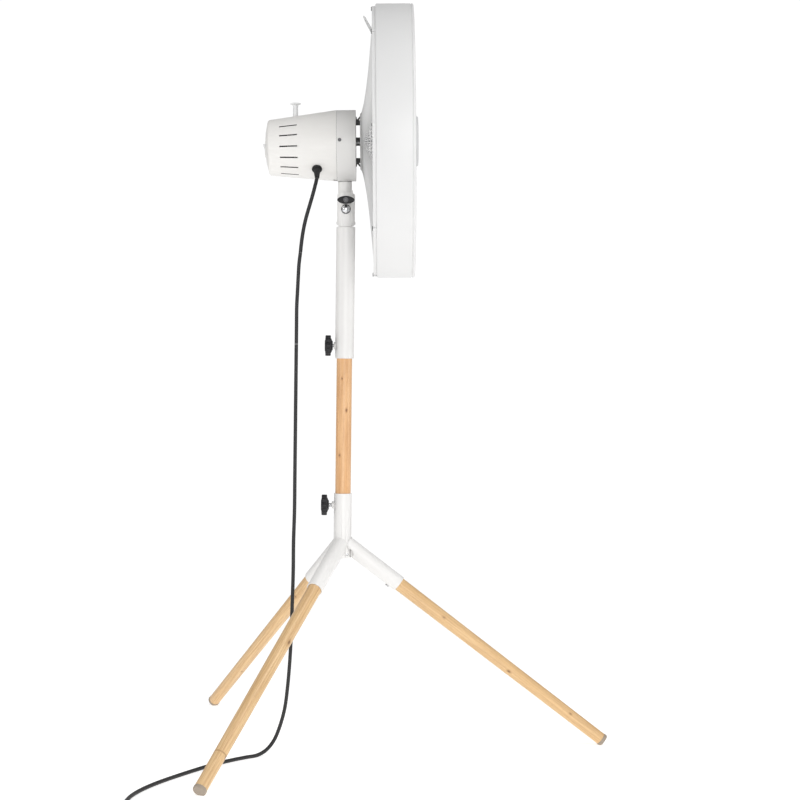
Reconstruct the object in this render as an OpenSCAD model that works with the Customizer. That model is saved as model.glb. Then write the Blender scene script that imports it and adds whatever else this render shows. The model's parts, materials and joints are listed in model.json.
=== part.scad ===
// Tripod pedestal fan: folding beech legs, sliding mast, tilting and oscillating head.
// Millimetres, +Z up, the fan blows towards -Y, and the floor is z = 0.

/* [Legs] */
// Height of the leg hinge pins above the floor
hinge_z = 315; // [280:1:360]
// Distance of each hinge pin from the column's axis
hinge_r = 8; // [8:0.5:9]
// Slope of an open leg below the horizontal
leg_slope = 37.1; // [35:0.1:40]
// Distance from a hinge pin to the leg's own axis
leg_offset = 13; // [12.6:0.1:14]
// Diameter of a leg socket
socket_d = 26.4; // [25.6:0.1:27]
// Diameter of a leg where it enters its socket
leg_d = 23.2; // [22:0.1:23.4]
// Turn of the whole tripod about the column
tripod_turn = 3; // [-8:0.5:8]

/* [Column] */
// Diameter of the wooden pole
pole_d = 25.5; // [24:0.1:25.5]
// Outer diameter of the hub tube
hub_d = 29.2; // [28.6:0.1:29.6]
// Height of the hub tube's top
hub_top = 415; // [400:1:430]
// Outer diameter of the sliding mast tube
mast_d = 31; // [30:0.1:31.4]
// Height of the mast tube's lower end, as it is clamped
mast_low = 637; // [600:1:660]
// Height of the tilt bolt
tilt_z = 882; // [860:1:900]
// Diameter of the two clamp knobs
clamp_d = 34; // [28:1:38]

/* [Head] */
// Upward tilt of the head, as it is clamped
head_tilt = 1; // [0:0.5:5]
// Height of the fan's shaft above the tilt bolt
shaft_h = 112; // [110:1:116]
// Radius of the motor housing at its front
ring_r = 58.6; // [58:0.1:60]
// Radius of the motor housing at its rear
rear_r = 46; // [44:0.5:50]
// How far the housing's centre lies below the shaft
ring_drop = 6.7; // [6:0.1:7]
// Droop of the rear housing's axis below the shaft's
shell_droop = 1.5; // [0:0.1:2]
// Outer radius of the drum round the blades
drum_r = 224.5; // [210:0.5:230]
// Depth of the drum
drum_w = 62; // [60:1:66]
// Number of blades
blade_count = 5; // [3:1:6]

/* [Cord] */
// Diameter of the mains cord
cord_d = 6; // [5:0.5:7]

/* [Hidden] */
$fn = 64;
eps = 0.01;
gap = 0.3;
fit = 0.06;

// Legs, in a leg's own frame: +X runs outwards from the column's axis
LEG_ANGLES = [-90, 150, 30];
leg_root = [hinge_r + leg_offset * sin(leg_slope), 0, hinge_z + leg_offset * cos(leg_slope)];
socket_end = 98;
socket_wall = 1.5;
socket_solid = 14;
pin_r = 2;
web_t = 8;
web_slot = web_t + 2 * gap;
eye_r = 5.2;
foot_r = 10.5;
foot_d = 20;
pad_len = 6;
corner_drop = 1.8;
leg_len = (leg_root[2] - foot_r * cos(leg_slope) + corner_drop) / sin(leg_slope);
reach_out = leg_root[0] + leg_len * cos(leg_slope) + foot_r * sin(leg_slope);

// The origin is the middle of the object's box on the floor, so the column stands off it
foot_x = [for (a = LEG_ANGLES) reach_out * cos(a + tripod_turn)];
foot_y = [for (a = LEG_ANGLES) reach_out * sin(a + tripod_turn)];
stand_x = -(max(foot_x) + min(foot_x)) / 2;
stand_y = -(max(foot_y) + min(foot_y)) / 2;

// Hub and column
hub_low = hinge_z - 6.5;
hub_bore_z = 338;
slot_top = 324;
pole_top = 730;
clamp_low_z = 395.6;
clamp_high_z = 658;
guide_len = 40;
yoke_low = tilt_z - 29;
yoke_r = mast_d / 2 + 0.3;
cheek_r = 28.6;
cheek_gap = 12.4;
wing_h = 14;
tang_t = cheek_gap - 2 * gap;
bolt_r = 4;
wing_stud_r = 2.5;

// Neck and link
neck_y = 1.5;
neck_r = 11.35;
neck_top = shaft_h - ring_drop - ring_r - 1.1;
spindle_r = 6;
spindle_top = 60.4;
link_z = 62.8;
anchor_r = 20;

// Motor, along the shaft: y = 0 is above the column's axis
ring_front = -17;
ring_back = 14;
shell_back = 127;
shell_crown = 132;
shell_t = 2;
shell_lead = 2;
seam = 0.3;
spigot_t = 2.2;
shell_len = shell_back - ring_back;
stator_r = 41;
stator_len = 26;
bolt_circle = 44;
bracket_y = 36;
gear_x = 15;
gear_y = 82.7;
crank_z = -46;
wheel_r = 10;
worm_r = 4.6;
slot_pitch = 21.3;
slot_first = 39.2;
switch_z = -12.7;
bezel_y = 130.8;
rocker_y = 131;
grommet_y = 47.4;
grommet_angle = 46.8;
grommet_r = 8.4;

// Guards
drum_back = -50.2;
drum_front = drum_back - drum_w;
drum_t = 1.6;
wire_t = 2.4;
wire_count = 24;
cone_r = 43;
cone_y = -25.5;
standoff_r = 31;
rim_r = drum_r - 4;
badge_r = 41;
loop_r = 180;
loop_half_w = 16;
loop_len = 30;
loop_lean = 28;

// Cord: its three spans hang from the grommet and run along the floor, in the column's frame
TOP_ROUTE = [[-53, 47, 929], [-58, 48, 923], [-61, 50, 914], [-62, 53, 902], [-62, 58, 884],
    [-62, 63, 866], [-62, 67, 848], [-62, 70, 828], [-62, 72, 808]];
MIDDLE_ROUTE = [[-62, 72, 807.7], [-62, 74, 790], [-62, 75, 770], [-62, 76, 745], [-62, 77, 720],
    [-62, 77, 690], [-62, 77, 660]];
FLOOR_ROUTE = [[-62, 77, 659.7], [-62, 77, 630], [-62, 77, 590], [-62, 77, 540], [-62, 77, 490],
    [-62, 77, 440], [-62, 77, 390], [-62, 78, 340], [-62, 78, 290], [-62, 79, 240], [-63, 80, 190],
    [-64, 82, 145], [-66, 85, 105], [-69, 89, 72], [-74, 96, 45], [-81, 105, 23], [-91, 117, 9],
    [-104, 131, 3], [-120, 147, 3], [-142, 167, 3], [-168, 187, 3], [-198, 206, 3], [-232, 225, 3],
    [-266, 243, 3], [-300, 260, 3], [-335, 275, 3], [-370, 287, 3], [-405, 295, 3], [-437, 298, 3],
    [-458, 298, 3]];
COIL_CENTRE = [-472, 264];
coil_r = 31;
coil_half_w = 7;
plug_x = -506;
plug_front = 194;
plug_back = 228;
plug_z = 7;

// ---------- places ----------
module on_stand() translate([stand_x, stand_y, 0]) children();

module on_leg(k) on_stand() rotate([0, 0, LEG_ANGLES[k] + tripod_turn]) children();

// A leg's own axis: +Z runs down the leg from the point nearest its hinge pin
module along_leg(k) on_leg(k) translate(leg_root) rotate([0, 90 + leg_slope, 0]) children();

module on_tilt() on_stand() translate([0, 0, tilt_z]) rotate([-head_tilt, 0, 0]) children();

module on_shaft() on_tilt() translate([0, 0, shaft_h]) children();

module on_ring() on_shaft() translate([0, 0, -ring_drop]) children();

// The rear housing's own axis, which droops from the ring's rear edge
module on_shell() on_ring() translate([0, ring_back, 0]) rotate([-shell_droop, 0, 0]) children();

// ---------- shapes ----------
module along_y(y0, y1, r, r2 = -1)
    translate([0, y0, 0]) rotate([-90, 0, 0]) cylinder(h = y1 - y0, r1 = r, r2 = r2 < 0 ? r : r2);

module along_x(x0, x1, r)
    translate([x0, 0, 0]) rotate([0, 90, 0]) cylinder(h = x1 - x0, r = r);

module ring_y(y0, y1, r_in, r_out)
    difference() {
        along_y(y0, y1, r_out);
        along_y(y0 - 1, y1 + 1, r_in);
    }

module turned_y() rotate([-90, 0, 0]) rotate_extrude() children();

module round_y(count, start = 0)
    for (i = [0:count - 1]) rotate([0, start + 360 * i / count, 0]) children();

function arc(centre, r, from, to, n) =
    [for (i = [0:n]) centre + r * [cos(from + (to - from) * i / n), sin(from + (to - from) * i / n)]];

// A tube swept along a route, one ring of points square to each step
sides = 8;
function unit(v) = v / norm(v);
function heading(p, i) =
    unit(i == 0 ? p[1] - p[0] : i == len(p) - 1 ? p[i] - p[i - 1] : p[i + 1] - p[i - 1]);
function ring_points(c, d, r) =
    let (u = unit(cross(d, [0.3, -0.95, 0.1])), v = cross(d, u))
    [for (k = [0:sides - 1]) c + r * (u * cos(360 * k / sides) + v * sin(360 * k / sides))];
module swept_tube(p, r) {
    rings = len(p);
    points = [for (i = [0:rings - 1]) each ring_points(p[i], heading(p, i), r)];
    walls = [for (i = [0:rings - 2]) for (k = [0:sides - 1])
        let (a = i * sides + k, b = i * sides + (k + 1) % sides)
        each [[a, b, b + sides], [a, b + sides, a + sides]]];
    first = [for (k = [0:sides - 1]) sides - 1 - k];
    last = [for (k = [0:sides - 1]) (rings - 1) * sides + k];
    polyhedron(points, concat(walls, [first, last]));
}

// ---------- stand ----------
module leg_hole(k)
    on_leg(k) translate([hinge_r, -20, hinge_z]) rotate([-90, 0, 0]) cylinder(h = 27.5, r = pin_r);

module clamp_boss(z, r_from, r_to)
    on_stand() translate([0, 0, z]) along_y(r_from, r_to, 6);

module hub_socket() color([0.93, 0.93, 0.92])
    difference() {
        union() {
            on_stand() translate([0, 0, hub_low]) rotate_extrude()
                polygon([[0, 0], [hub_d / 2 - 1.5, 0], [hub_d / 2, 2], [hub_d / 2, hub_top - hub_low],
                    [0, hub_top - hub_low]]);
            clamp_boss(clamp_low_z, 8, 18);
        }
        on_stand() translate([0, 0, hub_bore_z]) cylinder(h = 100, r = pole_d / 2 + 0.1);
        on_stand() translate([0, 0, clamp_low_z]) along_y(10, 20, 3 + fit);
        on_stand() translate([0, 0, hub_low - 1]) cylinder(h = slot_top - hub_low + 1, r = 5.4);
        for (k = [0:2]) {
            on_leg(k) translate([0, -web_slot / 2, hub_low - 1]) cube([20, web_slot, slot_top - hub_low + 1]);
            leg_hole(k);
        }
    }

module hinge_pins() color([0.6, 0.6, 0.6])
    for (k = [0:2])
        on_leg(k) translate([hinge_r, -9.5, hinge_z]) rotate([-90, 0, 0]) cylinder(h = 17, r = pin_r);

module wood_pole() color([0.93, 0.72, 0.47])
    on_stand() translate([0, 0, hub_bore_z]) difference() {
        cylinder(h = pole_top - hub_bore_z, d = pole_d);
        translate([0, 0, pole_top - hub_bore_z - 1]) rotate_extrude()
            polygon([[pole_d / 2 - 1, 1.01], [pole_d / 2 + 1, 1.01], [pole_d / 2 + 1, -1]]);
    }

// ---------- legs ----------
module leg_socket(k) color([0.93, 0.93, 0.92])
    difference() {
        union() {
            difference() {
                along_leg(k) translate([0, 0, -14]) cylinder(h = socket_end + 14, d = socket_d);
                on_stand() cylinder(h = 500, r = hub_d / 2 + 0.7);
                on_leg(k) translate([hinge_r, -20, hinge_z]) rotate([-90, 0, 0]) cylinder(h = 40, r = 10);
            }
            // Hinge web and eye, in the plane of the leg
            on_leg(k) translate([hinge_r, -web_t / 2, hinge_z]) rotate([-90, 0, 0]) cylinder(h = web_t, r = eye_r);
            along_leg(k) translate([0, web_t / 2, 0]) rotate([90, 0, 0]) linear_extrude(web_t)
                polygon([[8.7, -3], [-6, 10], [-6, 18], [12.6, 18], [13, eye_r]]);
        }
        along_leg(k) translate([0, 0, socket_solid]) cylinder(h = 200, d = socket_d - 2 * socket_wall);
        on_leg(k) translate([hinge_r, -20, hinge_z]) rotate([-90, 0, 0]) cylinder(h = 40, r = pin_r + fit);
        leg_screw_cut(k);
    }

// The screw that holds a leg in its socket comes in from underneath, near the socket's end
module leg_screw_place(k) along_leg(k) translate([0, 0, socket_end - 14]) children();

module leg_screw_cut(k) leg_screw_place(k) along_x(8, 20, 1.7);

module leg_rod(k) color([0.9, 0.75, 0.54])
    difference() {
        along_leg(k) translate([0, 0, socket_solid + 0.2])
            cylinder(h = leg_len - pad_len - socket_solid - 0.2, d1 = leg_d, d2 = foot_d);
        leg_screw_place(k) along_x(2, 20, 1.7);
    }

module leg_screws(k) color([0.55, 0.55, 0.55])
    leg_screw_place(k) {
        along_x(2.2, socket_d / 2 + 0.2, 1.7);
        along_x(socket_d / 2 + 0.2, socket_d / 2 + 2, 3.4);
    }

module foot_pad(k) color([0.75, 0.73, 0.69])
    intersection() {
        along_leg(k) translate([0, 0, leg_len - pad_len]) {
            cylinder(h = pad_len - 1.5, r = foot_r);
            translate([0, 0, pad_len - 1.5]) cylinder(h = 1.5, r1 = foot_r, r2 = foot_r - 1);
        }
        on_leg(k) translate([300, -50, 0]) cube([200, 100, 100]);
    }

module leg_socket_front() leg_socket(0);
module leg_socket_left() leg_socket(1);
module leg_socket_right() leg_socket(2);
module leg_rod_front() leg_rod(0);
module leg_rod_left() leg_rod(1);
module leg_rod_right() leg_rod(2);
module leg_screws_front() leg_screws(0);
module leg_screws_left() leg_screws(1);
module leg_screws_right() leg_screws(2);
module foot_pad_front() foot_pad(0);
module foot_pad_left() foot_pad(1);
module foot_pad_right() foot_pad(2);

// ---------- clamp knobs ----------
// A fluted knob with a moulded-in stud, its axis along +Y
module clamp_knob(z, tip_y, hub_y, disc_y)
    color([0.12, 0.12, 0.12]) on_stand() translate([0, 0, z]) {
        along_y(tip_y, hub_y + 1, 3);
        along_y(hub_y, disc_y + eps, 8);
        difference() {
            along_y(disc_y, disc_y + 9, clamp_d / 2);
            round_y(6) translate([clamp_d / 2 + 3.2, 0, 0]) along_y(disc_y - 1, disc_y + 10, 5.2);
        }
    }

module lower_clamp_knob() clamp_knob(clamp_low_z, pole_d / 2 + 0.2, 23, 26);
module upper_clamp_knob() clamp_knob(clamp_high_z, pole_d / 2 + 0.2, 19.5, 22.6);

// ---------- mast ----------
module mast_tube() color([0.94, 0.94, 0.93])
    difference() {
        union() {
            on_stand() translate([0, 0, mast_low]) cylinder(h = yoke_low - mast_low, d = mast_d);
            clamp_boss(clamp_high_z, 13.6, 17.6);
        }
        on_stand() translate([0, 0, mast_low - 1]) cylinder(h = 300, r = pole_d / 2 + 0.1);
        on_stand() translate([0, 0, mast_low + guide_len]) cylinder(h = 300, d = mast_d - 3.2);
        on_stand() translate([0, 0, clamp_high_z]) along_y(10, 20, 3 + fit);
    }

// The mast's fork: two rounded cheeks with a spigot that is pressed into the tube
module tilt_yoke() color([0.94, 0.94, 0.93])
    on_stand() difference() {
        union() {
            intersection() {
                translate([0, 0, yoke_low]) cylinder(h = 80, r = yoke_r);
                translate([0, 0, tilt_z]) along_x(-20, 20, cheek_r);
            }
            translate([0, 0, yoke_low - 18]) cylinder(h = 19, d = mast_d - 3.2);
        }
        translate([-cheek_gap / 2, -20, tilt_z - 20]) cube([cheek_gap, 40, 60]);
        translate([0, 0, tilt_z]) along_x(-20, 20, bolt_r);
        translate([0, 0, tilt_z + wing_h]) along_x(-20, 8, wing_stud_r + fit);
        translate([0, 0, yoke_low - 20]) cylinder(h = 24, r = 8);
    }

module tilt_bolt() color([0.7, 0.7, 0.7])
    on_stand() translate([0, 0, tilt_z]) {
        along_x(-19.5, yoke_r, bolt_r);
        along_x(yoke_r, yoke_r + 4, 6.5);
    }

module acorn_nut() color([0.85, 0.85, 0.86])
    on_stand() translate([0, 0, tilt_z]) difference() {
        union() {
            along_x(-yoke_r - 1.6, -yoke_r, 7.8);
            translate([-yoke_r - 6, 0, 0]) rotate([0, 90, 0]) cylinder(h = 4.5, d = 14.4, $fn = 6);
            intersection() {
                translate([-yoke_r - 5.2, 0, 0]) sphere(r = 5.8);
                along_x(-yoke_r - 20, -yoke_r - 5.9, 10);
            }
        }
        along_x(-19.6, 0, bolt_r);
    }

module tilt_wing_knob() color([0.1, 0.1, 0.1])
    on_stand() translate([0, 0, tilt_z + wing_h]) {
        along_x(-yoke_r - 13, cheek_gap / 2 + 1, wing_stud_r);
        along_x(-yoke_r - 13, -yoke_r - gap, 4.4);
        // An oval grip: where two large discs and a round one meet
        intersection() {
            along_x(-yoke_r - 19, -yoke_r - 12, 15.2);
            translate([0, 0, 33.2]) along_x(-yoke_r - 19, -yoke_r - 12, 39.9);
            translate([0, 0, -33.2]) along_x(-yoke_r - 19, -yoke_r - 12, 39.9);
        }
    }

// ---------- neck ----------
module neck() color([0.9, 0.9, 0.89])
    on_tilt() {
        difference() {
            translate([0, neck_y, 15]) cylinder(h = neck_top - 15, r = neck_r);
            along_x(-20, 20, cheek_r + 0.4);
        }
        translate([0, neck_y, neck_top - 1]) cylinder(h = spindle_top - neck_top + 1, r = spindle_r);
        tang();
    }

module tang()
    difference() {
        translate([-tang_t / 2, -11.5, -11]) cube([tang_t, 23, 42.5]);
        along_x(-20, 20, bolt_r + fit);
        // Arc slot for the clamp stud
        rotate([0, 90, 0]) translate([0, 0, -10]) rotate([0, 0, 180 - 24])
            rotate_extrude(angle = 48) translate([wing_h - 2.9, 0]) square([5.8, 20]);
        for (a = [-24, 24])
            rotate([a, 0, 0]) translate([0, 0, wing_h]) along_x(-10, 10, 2.9);
        // Rounded lower corners
        difference() {
            translate([-10, -20, -20]) cube([20, 40, 16]);
            along_x(-12, 12, 11.6);
        }
    }

module thrust_washer() color([0.2, 0.2, 0.2])
    on_tilt() translate([0, neck_y, neck_top]) difference() {
        cylinder(h = 0.8, r = neck_r);
        translate([0, 0, -1]) cylinder(h = 3, r = spindle_r);
    }

// The arm on top of the spindle, with the stud that holds the drive link still
module link_anchor() color([0.65, 0.65, 0.65])
    on_tilt() translate([0, neck_y, spindle_top]) {
        cylinder(h = 2, r = 7.5);
        translate([-4, 0, 0]) cube([8, anchor_r, 2]);
        translate([0, anchor_r, 0]) cylinder(h = 2, r = 4);
        translate([0, anchor_r, 1]) cylinder(h = 4.8, r = 2);
    }

module drive_link() color([0.65, 0.65, 0.65])
    on_tilt() translate([0, neck_y + anchor_r, link_z]) difference() {
        union() {
            cylinder(h = 2, r = 4.5);
            translate([-3.5, 0, 0]) cube([7, gear_y - neck_y - anchor_r, 2]);
            translate([0, gear_y - neck_y - anchor_r, 0]) cylinder(h = 2, r = 4.5);
        }
        translate([0, 0, -1]) cylinder(h = 4, r = 2 + fit);
    }

// The crank under the gearbox: its pin drives the link's free end
module crank_arm() color([0.85, 0.83, 0.75])
    on_shaft() translate([gear_x, gear_y, crank_z]) {
        cylinder(h = 3, r = 6);
        translate([-gear_x, -3.5, 0]) cube([gear_x, 7, 3]);
        translate([-gear_x, 0, 0]) cylinder(h = 3, r = 4.5);
        translate([0, 0, 2]) cylinder(h = 32, r = 3);
        translate([-gear_x, 0, -0.8]) cylinder(h = 1, r = 2);
    }

// Toothed wheel beside the worm: each tooth is a bar across the rim
module worm_wheel() color([0.85, 0.83, 0.75])
    on_shaft() translate([gear_x, gear_y, 0]) {
        translate([0, 0, -3]) cylinder(h = 6, r = wheel_r - 1);
        translate([0, 0, -11]) cylinder(h = 9, r = 3);
        for (i = [0:19])
            rotate([0, 0, 18 * i]) translate([wheel_r - 2, -0.7, -3]) cube([2, 1.4, 6]);
    }

// ---------- motor housing ----------
module motor_frame() color([0.86, 0.87, 0.87])
    difference() {
        union() {
            on_ring() difference() {
                along_y(ring_front, ring_back, ring_r);
                along_y(ring_front + 3, ring_back + 1, ring_r - 2.4);
            }
            // Seat round the stator, bush seat and spindle socket
            on_shaft() ring_y(ring_front + 2, 5, stator_r, stator_r + 1.2);
            on_shaft() along_y(ring_front + 1, -8, 12);
            on_tilt() translate([0, neck_y, neck_top + 1.1]) cylinder(h = 13.4, r = 11.5);
            on_shaft() round_y(4, 45) translate([bolt_circle, 0, 0]) along_y(ring_front + 1, -9, 3.6);
        }
        on_shaft() along_y(ring_front - 1, 0, 9);
        on_tilt() translate([0, neck_y, neck_top - 5]) cylinder(h = 24, r = spindle_r + fit);
        on_shaft() round_y(4, 45) translate([bolt_circle, 0, 0]) along_y(-14, 0, 1.6);
        on_shaft() round_y(4) translate([standoff_r, 0, 0]) along_y(ring_front - 1, -10, 1.6);
        shell_screw_place() along_x(-ring_r - 2, -ring_r + 6, 1.5);
    }

// Outline of the housing's half section: radius, then length along its axis
function shell_outline(inset) =
    let (r0 = ring_r - inset, r1 = rear_r - inset, corner = 5 - inset / 2, back = shell_len - inset,
        lead = shell_lead * (ring_r - rear_r) / shell_len)
    concat([[0, -shell_lead], [r0 + lead, -shell_lead]],
        arc([r1 - corner, back - corner], corner, 6, 70, 6),
        [[r1 * 0.6, back + 3.2], [r1 * 0.3, back + 4.6], [0, back + 5]]);

// The rear housing is trimmed square to the ring, and its spigot slips inside the ring
module motor_shell() color([0.94, 0.94, 0.92])
    difference() {
        union() {
            difference() {
                on_shell() turned_y() polygon(shell_outline(0));
                on_shell() translate([0, -eps, 0]) turned_y() polygon(shell_outline(shell_t));
                on_ring() translate([-80, ring_back + seam - 40, -80]) cube([160, 40, 160]);
            }
            on_ring() ring_y(ring_back + seam, ring_back + 3, ring_r - 2.5 - spigot_t, ring_r - 1);
            on_ring() ring_y(4, ring_back + 1, ring_r - 2.5 - spigot_t, ring_r - 2.5);
        }
        on_tilt() translate([-13, -20, 0]) cube([26, 40, shaft_h - 50]);
        shell_screw_place() along_x(-ring_r - 2, -ring_r + 6, 1.6);
        // Cooling slots on both sides
        for (side = [0, 1], i = [0:5])
            on_shell() mirror([side, 0, 0]) rotate([0, slot_first - slot_pitch * i, 0])
                translate([-70, 64, -1.1]) cube([40, 29, 2.2]);
        on_shaft() translate([gear_x, gear_y, 25]) cylinder(h = 40, r = 4.45 + gap);
        on_shaft() translate([-6.6, shell_back - 8, switch_z - 10.6]) cube([13.2, 30, 21.2]);
        on_shaft() translate([-8.1, bezel_y - 0.1, switch_z - 12.6]) cube([16.2, 5, 25.2]);
        grommet_place() along_x(-20, 12, 6);
        grommet_place() along_x(-20, 0.45, grommet_r + 0.1);
    }

// Screws that hold the rear housing to the frame
module shell_screw_place()
    for (a = [4, 124, 244]) on_ring() rotate([0, a, 0]) translate([0, 9, 0]) children();

module shell_screws() color([0.3, 0.3, 0.3])
    shell_screw_place() {
        along_x(-ring_r - 1.4, -ring_r - 0.1, 2.9);
        along_x(-ring_r - 0.2, -ring_r + 5, 1.5);
    }

module stator_core() color([0.5, 0.5, 0.52])
    on_shaft() difference() {
        along_y(0, stator_len, stator_r);
        along_y(-1, stator_len + 1, 24.6);
        round_y(16) translate([31, 0, 0]) along_y(-1, stator_len + 1, 3.4);
    }

module stator_coils() color([0.72, 0.45, 0.2])
    on_shaft() {
        ring_y(-7.5, -0.2, 27, 38);
        ring_y(stator_len + 0.2, stator_len + 8, 27, 38);
        round_y(16) translate([31, 0, 0]) along_y(-0.4, stator_len + 0.4, 3);
    }

module rear_bracket() color([0.75, 0.76, 0.77])
    on_shaft() translate([0, bracket_y, 0]) rotate([-90, 0, 0]) difference() {
        union() {
            linear_extrude(3) {
                circle(r = 20);
                for (a = [45, 135]) rotate(a) square([94, 10], center = true);
            }
            translate([0, 0, 1]) cylinder(h = 9, r = 12);
        }
        translate([0, 0, -1]) cylinder(h = 12, r = 9);
        for (a = [45:90:315]) rotate(a) translate([bolt_circle, 0, -1]) cylinder(h = 5, r = 1.6);
    }

module shaft_bushes() color([0.75, 0.6, 0.35])
    on_shaft() {
        ring_y(ring_front, -8, 4 + fit, 9);
        ring_y(bracket_y, bracket_y + 10, 4 + fit, 9);
    }

module through_bolts() color([0.7, 0.7, 0.7])
    on_shaft() round_y(4, 45) translate([bolt_circle, 0, 0]) {
        along_y(-13.5, bracket_y + 3, 1.6);
        along_y(bracket_y + 3, bracket_y + 5.4, 3);
    }

module gearbox_case() color([0.8, 0.8, 0.78])
    on_shaft() difference() {
        translate([-12, bracket_y + 10, -15]) cube([42, 50, 30]);
        translate([-9, bracket_y + 13, -12]) cube([36, 45, 24]);
        along_y(bracket_y, bracket_y + 20, 5.2);
        translate([gear_x, gear_y, -20]) cylinder(h = 20, r = 3 + fit);
        translate([gear_x, gear_y, 0]) cylinder(h = 20, r = 2 + fit);
    }

module capacitor() color([0.25, 0.25, 0.27])
    on_shaft() translate([-30, 48, 0]) cube([14, 38, 24]);

module rotor_core() color([0.6, 0.6, 0.62])
    on_shaft() difference() {
        along_y(0, stator_len, 24);
        along_y(-1, stator_len + 1, 4);
    }

module rotor_shaft() color([0.78, 0.78, 0.8])
    on_shaft() {
        along_y(-100, 74, 4);
        difference() {
            along_y(74, 92, worm_r);
            for (i = [0:4]) ring_y(75.5 + 3.2 * i, 77 + 3.2 * i, 3.4, 6);
        }
    }

// Five pitched blades on one hub; each blade is a curved-edge plate turned about its own radius
blade_r = 206;
blade_mid = -80;
module blade_plan()
    intersection() {
        difference() {
            translate([18, -50]) square([blade_r, 100]);
            translate([-14, 92]) circle(r = 62);
        }
        circle(r = blade_r);
        translate([118, -12]) circle(r = 100);
    }

module fan_blades() color([0.88, 0.9, 0.91])
    on_shaft() difference() {
        union() {
            along_y(blade_mid - 15, blade_mid + 18, 26);
            translate([0, blade_mid, 0]) round_y(blade_count)
                rotate([24, 0, 0]) rotate([90, 0, 0]) linear_extrude(2.2, center = true) blade_plan();
        }
        along_y(blade_mid - 30, blade_mid + 30, 4);
        ring_y(blade_mid + 3, blade_mid + 20, 9, 23.5);
    }

module spinner_nut() color([0.85, 0.85, 0.85])
    on_shaft() difference() {
        translate([0, -95.1, 0]) rotate([180, 0, 0]) turned_y()
            polygon(concat([[0, 0], [16, 0]], arc([10, 4], 6, 0, 80, 5), [[0, 10]]));
        along_y(-100, -90, 4);
    }

// ---------- controls ----------
// Pulled up, the knob frees the head from its oscillating gear
module pull_knob() color([0.92, 0.93, 0.93])
    on_shaft() translate([gear_x, gear_y, 0]) {
        translate([0, 0, 12]) cylinder(h = 26, r = 2);
        translate([0, 0, 36]) cylinder(h = 28, r = 4.45);
        translate([0, 0, 63.5]) cylinder(h = 1.2, r = 8.65);
        translate([0, 0, 64.7]) cylinder(h = 1.8, r1 = 8.65, r2 = 5);
    }

module switch_body() color([0.93, 0.93, 0.92])
    on_shaft() difference() {
        union() {
            translate([-6.5, shell_back - 16, switch_z - 10.5]) cube([13, 20, 21]);
            translate([-8, bezel_y, switch_z - 12.5]) cube([16, 1.4, 25]);
        }
        translate([-5.6, shell_back - 4, switch_z - 9.8]) cube([11.2, 20, 19.6]);
        translate([0, rocker_y, switch_z]) along_x(-7, 7, 0.85);
    }

module switch_rocker() color([0.9, 0.9, 0.9])
    on_shaft() translate([0, rocker_y, switch_z]) {
        rotate([90, 0, 90]) translate([0, 0, -5.3]) linear_extrude(10.6)
            polygon([[-2, -9.2], [1.5, -9.2], [2.2, 0], [5.4, 9.2], [-1, 9.2], [-4.5, 0]]);
        along_x(-6.6, 6.6, 0.7);
    }

module grommet_place()
    on_shell() translate([0, grommet_y - ring_back, 0]) rotate([0, -grommet_angle, 0])
        translate([-(ring_r - (ring_r - rear_r) * (grommet_y - ring_back) / shell_len), 0, 0]) children();

// Gland and tapered strain relief where the cord leaves the housing
module cord_grommet() color([0.08, 0.08, 0.08])
    grommet_place() {
        along_x(-2.6, 0.4, grommet_r);
        along_x(0.3, 9, 5.9);
        translate([-22, 0, 0]) rotate([0, 90, 0]) cylinder(h = 20, r1 = cord_d / 2 + 0.6, r2 = 6);
    }

// ---------- guards ----------
// Posts between motor and guard, each with a foot and a brace on its outer side
module guard_standoffs() color([0.1, 0.1, 0.1])
    on_shaft() round_y(4) translate([standoff_r, 0, 0]) {
        translate([-4, cone_y + 1.2, -3.5]) cube([8, ring_front - cone_y - 1.2, 7]);
        translate([0, 0, -1.5]) linear_extrude(3)
            polygon([[3, ring_front], [10, ring_front], [10, ring_front - 1.2], [4.8, ring_front - 1.6],
                [11.5, cone_y + 1.2], [8.5, cone_y + 1.2], [3, ring_front - 4.5]]);
        along_y(cone_y - 2.6, cone_y - 1.2, 4);
        along_y(cone_y - 2, -11, 1.6);
    }

// A bar in the plane of the shaft, from one radius and depth to another
module guard_bar(from, to)
    let (d = to - from)
    translate([from[0], from[1], 0]) rotate([0, 0, atan2(d[1], d[0])])
        translate([0, -wire_t / 2, -wire_t / 2]) cube([norm(d), wire_t, wire_t]);

module guard_hoop(r, y) ring_y(y - wire_t / 2, y + wire_t / 2, r - wire_t / 2, r + wire_t / 2);

function cone_depth(r) = cone_y + (drum_back + 2.5 - cone_y) * (r - cone_r) / (rim_r - cone_r);

module rear_guard() color([0.93, 0.92, 0.89])
    on_shaft() {
        difference() {
            along_y(cone_y - 1.2, cone_y + 1.2, cone_r + 2);
            along_y(cone_y - 5, cone_y + 5, 16);
            round_y(4) translate([standoff_r, 0, 0]) along_y(cone_y - 5, cone_y + 5, 1.6);
        }
        round_y(wire_count) guard_bar([cone_r, cone_y], [rim_r - 1, drum_back + 2.5]);
        for (r = [90, 135, 180]) guard_hoop(r, cone_depth(r));
        ring_y(drum_back + 0.1, drum_back + 5.8, rim_r - 1.6, rim_r);
    }

// Small wire loop above the motor, its feet on one of the guard's hoops
module lifting_loop() color([0.93, 0.92, 0.89])
    on_shaft() translate([0, cone_depth(loop_r) - 0.5, loop_r]) rotate([-loop_lean, 0, 0]) {
        for (x = [-loop_half_w, loop_half_w])
            translate([x - 1, -1, 0]) cube([2, 2, loop_len]);
        translate([-loop_half_w, -1, loop_len - 2]) cube([2 * loop_half_w, 2, 2]);
    }

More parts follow.
